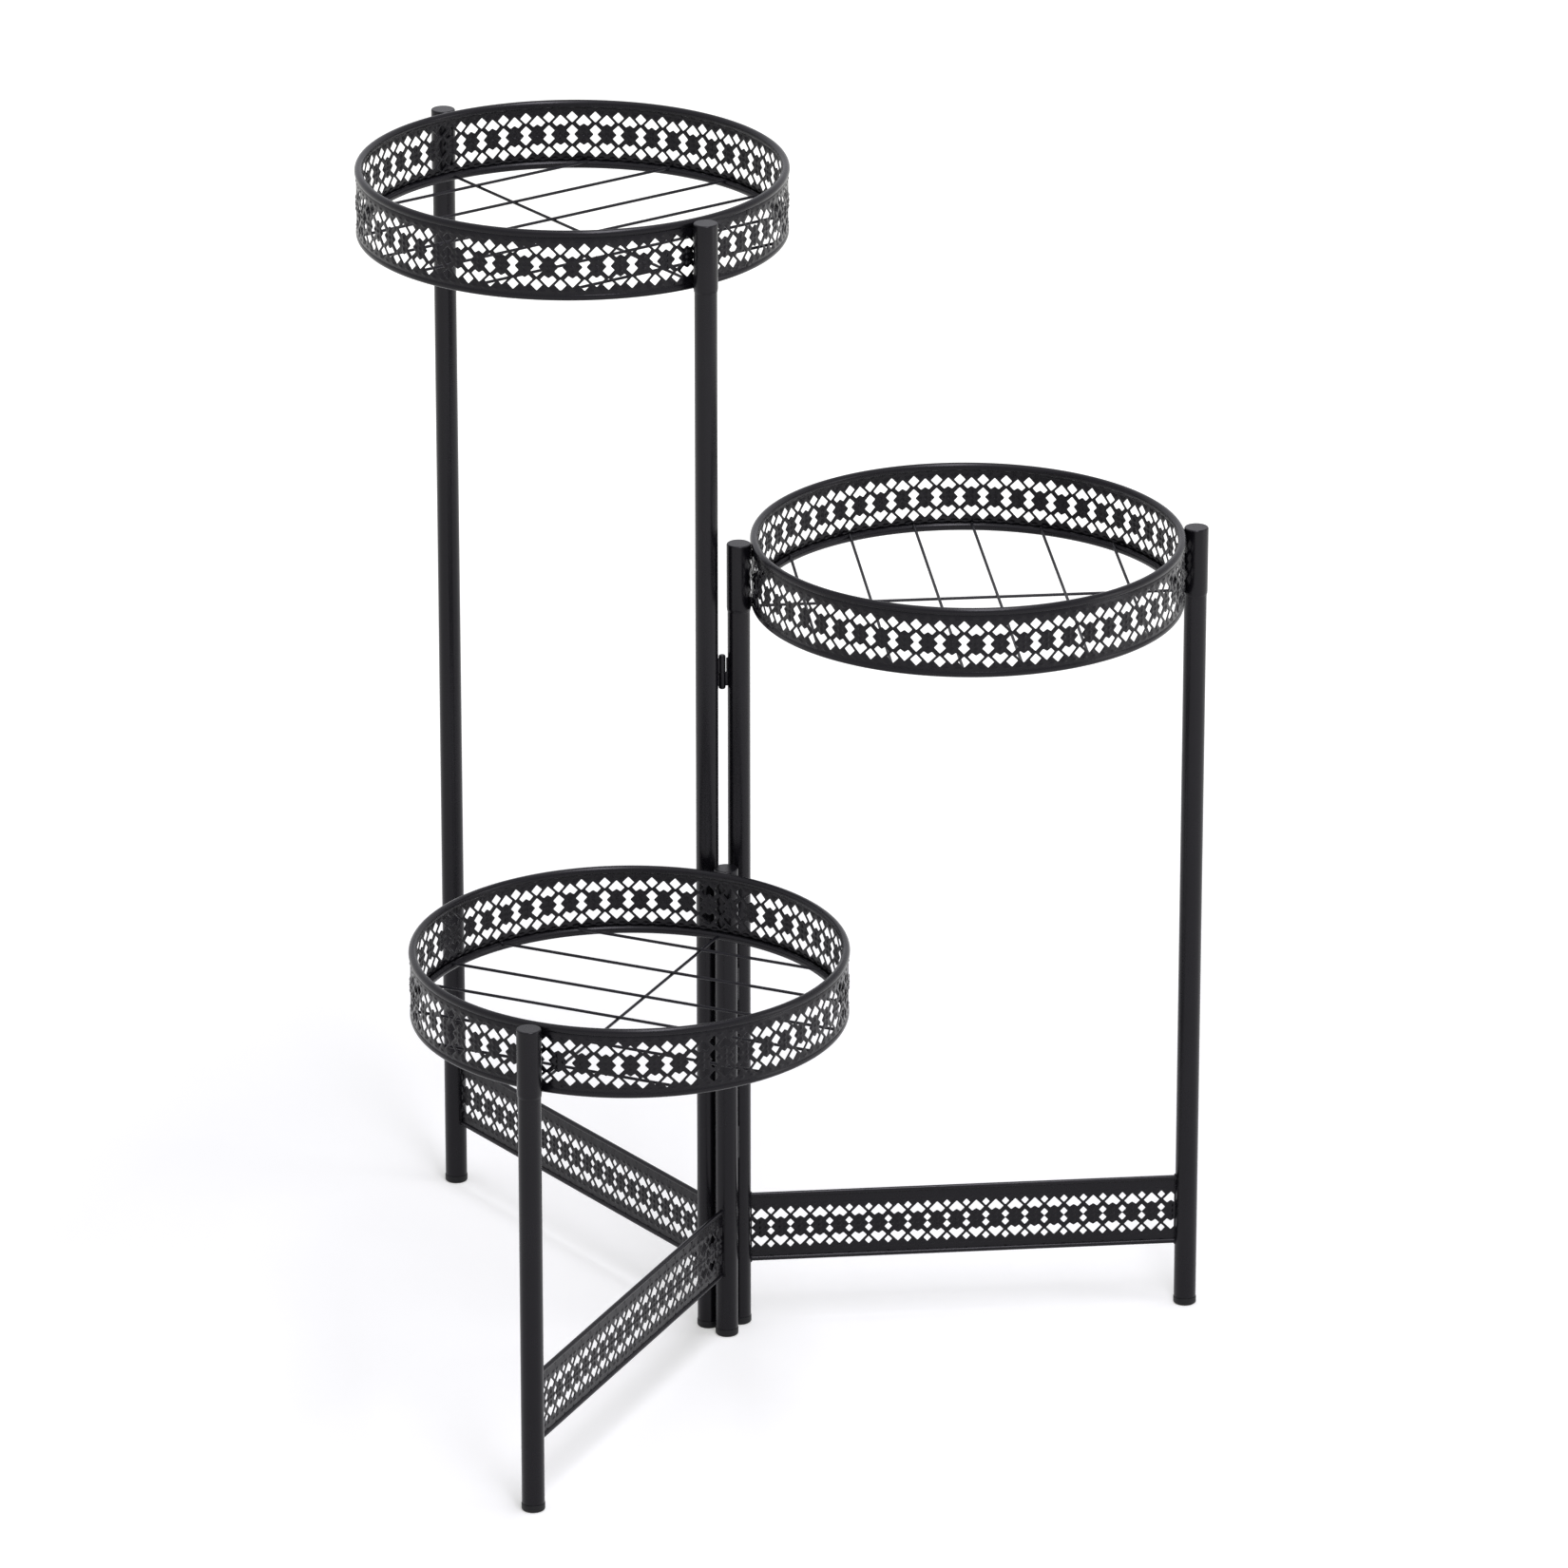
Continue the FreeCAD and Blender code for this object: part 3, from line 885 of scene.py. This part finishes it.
def seamMesh(name, place):
    # the strip's end lapped over its start, seen on the two plain borders
    plan = seamPlan
    radius, half = trayPlan["radius"], plan["width"] / 2
    bottom, top = rollTop(trayPlan["ringProud"]), trayPlan["depth"] - rollTop(trayPlan["rimProud"])
    bm = bmesh.new()
    for low, high in ((bottom, plan["borders"][0]), (plan["borders"][1], top)):
        addBox(bm, (radius - plan["sunk"], -half, low), (radius + plan["rise"], half, high), plan["round"])
    turn = Matrix.Rotation(math.radians(plan["angle"]), 4, "Z")
    return meshFrom(bm, name, place @ turn)


for number, name in enumerate(standPlan["names"]):
    body = name + "_tray"
    base = standPlan["heights"][name] + trayPlan["rimRise"] - trayPlan["depth"]
    place = placeOf(name, standPlan["legSpacing"] / 2, base)
    made = {
        "Band": (bandMesh, "band", "powder_coat"),
        "FloorWires": (wiresMesh, "floor_wires", "wire_coat"),
        "CrossWire": (crossMesh, "cross_wire", "wire_coat"),
        "Seam": (seamMesh, None, "powder_coat"),
    }
    for part, (make, node, slot) in made.items():
        label = name + "Tray" + part
        showPiece(make(label, place), label, body, slot, [name + "_tray_" + node] if node else (),
                  50.0 if part == "Band" else 30.0)
    for part, node, upper in (("Rim", "rim", True), ("FloorRing", "floor_ring", False)):
        label = name + "Tray" + part
        showPiece(rollMesh(label, place, upper), label, body, "powder_coat", [name + "_tray_" + node])
    for side, x in (("Hub", 0.0), ("Outer", standPlan["legSpacing"])):
        label = name + "Tray" + side + "Socket"
        showPiece(socketMesh(label, placeOf(name, x, base)), label, body, "powder_coat",
                  [name + "_tray_" + side.lower() + "_socket"])
    showPiece(trayWelds(place, 20 + number), name + "TrayWelds", body, "powder_coat")
print("trays built")


hingePlan = {
    "levels": {"tall": {"upper": 411.3, "lower": 112.0}, "low": {"upper": 215.0, "lower": 112.0}},
    "length": 21.5, "radius": 2.1, "round": 1.0, "gap": 0.3, "leaf": 1.5, "leafInset": 2.0,
    "pinRadius": 1.0, "pinOffset": 1.8, "wall": 1.0, "play": 0.05, "cut": 0.12,
    "leafFrom": 0.3, "leafSink": 0.3,          # from the barrel's face, and into the leg
    "neckFrom": 1.4, "neckTo": 0.6,            # the thin part that joins leaf and barrel
}


def hingeAxis(name):
    turn = math.radians(standPlan["hubBearings"][name] + (-90 if name == "tall" else 90))
    return hubOf(name) * 0.5 + Vector((math.cos(turn), math.sin(turn), 0)) * hingePlan["pinOffset"]


def knuckleMesh(name, axis, leg, bottom, top, full):
    # half the barrel, with its end rounded, and the leaf that reaches the leg
    plan = hingePlan
    r, soft = plan["radius"], plan["round"]
    bore, cut = plan["pinRadius"] + plan["play"], plan["cut"]
    if bottom == full[0]:
        outline = [(0, bottom)] + arc(r - soft, bottom + soft, soft, -90, 0, 6)
        outline += [(r, top - cut), (r - cut, top), (bore, top), (bore, bottom + plan["wall"]),
                    (0, bottom + plan["wall"])]
    else:
        outline = [(0, top)] + arc(r - soft, top - soft, soft, 90, 0, 6)
        outline += [(r, bottom + cut), (r - cut, bottom), (bore, bottom), (bore, top - plan["wall"]),
                    (0, top - plan["wall"])]
    bm = bmesh.new()
    addTurned(bm, outline, Matrix.Translation(axis), 36)
    run = leg - axis
    turn = Matrix.Rotation(math.atan2(run.y, run.x), 4, "Z")
    leaf = bmesh.new()
    half = plan["leaf"] / 2
    reach = run.length - standPlan["legRadius"] + plan["leafSink"]
    low, high = full[0] + plan["leafInset"], full[1] - plan["leafInset"]
    addBox(leaf, (r + plan["leafFrom"], -half, low), (reach, half, high), 0.2)
    addBox(leaf, (plan["neckFrom"], -half, max(low, bottom + 0.1)),
           (r + plan["neckTo"], half, min(high, top - 0.1)), 0.1)
    bmesh.ops.transform(leaf, matrix=Matrix.Translation(axis) @ turn, verts=leaf.verts[:])
    mesh = bpy.data.meshes.new("leaf")
    leaf.to_mesh(mesh)
    leaf.free()
    bm.from_mesh(mesh)
    return meshFrom(bm, name, Matrix.Scale(0.001, 4))


def pinMesh(name, axis, bottom, top):
    plan = hingePlan
    bm = bmesh.new()
    low, high = bottom + plan["wall"], top - plan["wall"] - plan["gap"]
    addRod(bm, axis + Vector((0, 0, low)), axis + Vector((0, 0, high)), plan["pinRadius"], 24, 0.2)
    return meshFrom(bm, name, Matrix.Scale(0.001, 4))


for name, levels in hingePlan["levels"].items():
    axis = hingeAxis(name)
    half = (hingePlan["length"] - hingePlan["gap"]) / 2
    for level, bottom in levels.items():
        top = bottom + hingePlan["length"]
        full = (bottom, top)
        label = name + "Hinge" + level.capitalize()
        node = name + "_hinge_" + level
        fixed = knuckleMesh(label + "FixedKnuckle", axis, hubOf("middle"), bottom, bottom + half, full)
        showPiece(fixed, label + "FixedKnuckle", "middle_frame", "powder_coat", [node + "_fixed_knuckle"])
        moving = knuckleMesh(label + "MovingKnuckle", axis, hubOf(name), top - half, top, full)
        showPiece(moving, label + "MovingKnuckle", name + "_frame", "powder_coat", [node + "_moving_knuckle"])
        showPiece(pinMesh(label + "Pin", axis, bottom, top), label + "Pin", "middle_frame", "pin_steel",
                  [node + "_pin"])
print("hinges built")


studioPlan = {
    "floorColour": (0.80, 0.80, 0.82, 1),
    "floorGlow": (0.325, 0.325, 0.305, 1),
    "farGlow": 2.4,                            # how much stronger the glow is where the lamps fall off
    "glowSlope": 0.8, "glowStart": 0.35,       # its growth for each metre from the stand, and where it begins
    "floorReach": 14.0,
    "sky": (1, 1, 1.05, 1),
    "around": 0.36,                            # the world's share of light on the object
    "cameraPlace": (-0.56584, -5.66958, 2.56536),
    "cameraTilt": 0.37202,
    "cameraTurn": -0.10417,
    "lens": 235.608,
    "shiftY": 0.00793,
}

lampPlan = {
    "ceiling": {"aim": (0.12, 0.10, -1.0), "strength": 0.30, "spread": 50.0},
    "overhead": {"place": (0.30, -1.00, 2.7), "target": (0.30, -1.00, 0.0), "size": (0.50, 2.6),
                 "power": 48.0, "colour": (1, 0.99, 1.05)},
    "rightFill": {"place": (2.6, -0.9, 0.9), "target": (0.0, 0.0, 0.35), "size": (0.9, 1.8),
                  "power": 12.0, "colour": (1, 1, 1)},
}


def raysThatSee(wire):
    # 1 for the camera's rays and for those that a shiny or clear surface sends on
    rays = wire.tree.nodes.new("ShaderNodeLightPath")
    camera, glossy, passed = (Wire(wire.tree, rays.outputs[kind]) for kind in
                              ("Is Camera Ray", "Is Glossy Ray", "Is Transmission Ray"))
    return wire.maths("MAXIMUM", wire.maths("MAXIMUM", camera, glossy), passed)


def buildFloor():
    plan = studioPlan
    bm = bmesh.new()
    bmesh.ops.create_grid(bm, x_segments=8, y_segments=8, size=plan["floorReach"])
    mesh = bpy.data.meshes.new("studioFloor")
    bm.to_mesh(mesh)
    bm.free()
    floor = bpy.data.objects.new("studioFloor", mesh)
    bpy.context.scene.collection.objects.link(floor)
    material, wire = newMaterial("paleFloor")
    matt = wire.add("ShaderNodeBsdfDiffuse", None, {"Color": plan["floorColour"]})
    spot = wire.add("ShaderNodeTexCoord", None, None, 3)
    away = wire.add("ShaderNodeVectorMath", {"operation": "LENGTH"}, {0: spot}, 1)
    far = (away * plan["glowSlope"] - plan["glowStart"]).clamped() * (plan["farGlow"] - 1.0) + 1.0
    glow = wire.add("ShaderNodeEmission", None,
                    {"Color": plan["floorGlow"], "Strength": raysThatSee(wire) * far})
    both = wire.add("ShaderNodeAddShader", None, {0: matt, 1: glow})
    wire.add("ShaderNodeOutputMaterial", None, {"Surface": both})
    mesh.materials.append(material)


def buildWorld():
    world = bpy.data.worlds.new("studio")
    bpy.context.scene.world = world
    world.use_nodes = True
    tree = world.node_tree
    tree.nodes.clear()
    wire = Wire(tree)
    around = studioPlan["around"]
    strength = raysThatSee(wire) * (1.0 - around) + around
    sky = wire.add("ShaderNodeBackground", None, {"Color": studioPlan["sky"], "Strength": strength})
    wire.add("ShaderNodeOutputWorld", None, {"Surface": sky})


def hang(name, light, aim, place=(0, 0, 0)):
    lamp = bpy.data.objects.new(name, light)
    lamp.location = place
    lamp.rotation_euler = aim.to_track_quat("-Z", "Y").to_euler()
    bpy.context.scene.collection.objects.link(lamp)


def softbox(name):
    plan = lampPlan[name]
    light = bpy.data.lights.new(name, "AREA")
    light.shape = "RECTANGLE"
    light.size, light.size_y = plan["size"]
    light.energy = plan["power"]
    light.color = plan["colour"]
    hang(name, light, Vector(plan["target"]) - Vector(plan["place"]), plan["place"])


def broadLight(name):
    plan = lampPlan[name]
    light = bpy.data.lights.new(name, "SUN")
    light.energy = plan["strength"]
    light.angle = math.radians(plan["spread"])
    hang(name, light, Vector(plan["aim"]))


def buildCamera():
    plan = studioPlan
    camera = bpy.data.objects.new("camera", bpy.data.cameras.new("camera"))
    camera.location = plan["cameraPlace"]
    camera.rotation_euler = (math.pi / 2 - plan["cameraTilt"], 0, plan["cameraTurn"])
    camera.data.lens = plan["lens"]
    camera.data.sensor_width = 36.0
    camera.data.shift_y = plan["shiftY"]
    camera.data.clip_end = 60.0
    bpy.context.scene.collection.objects.link(camera)
    bpy.context.scene.camera = camera


buildFloor()
buildWorld()
broadLight("ceiling")
softbox("overhead")
softbox("rightFill")
buildCamera()
bpy.context.scene.view_settings.view_transform = "Standard"
print("studio ready")
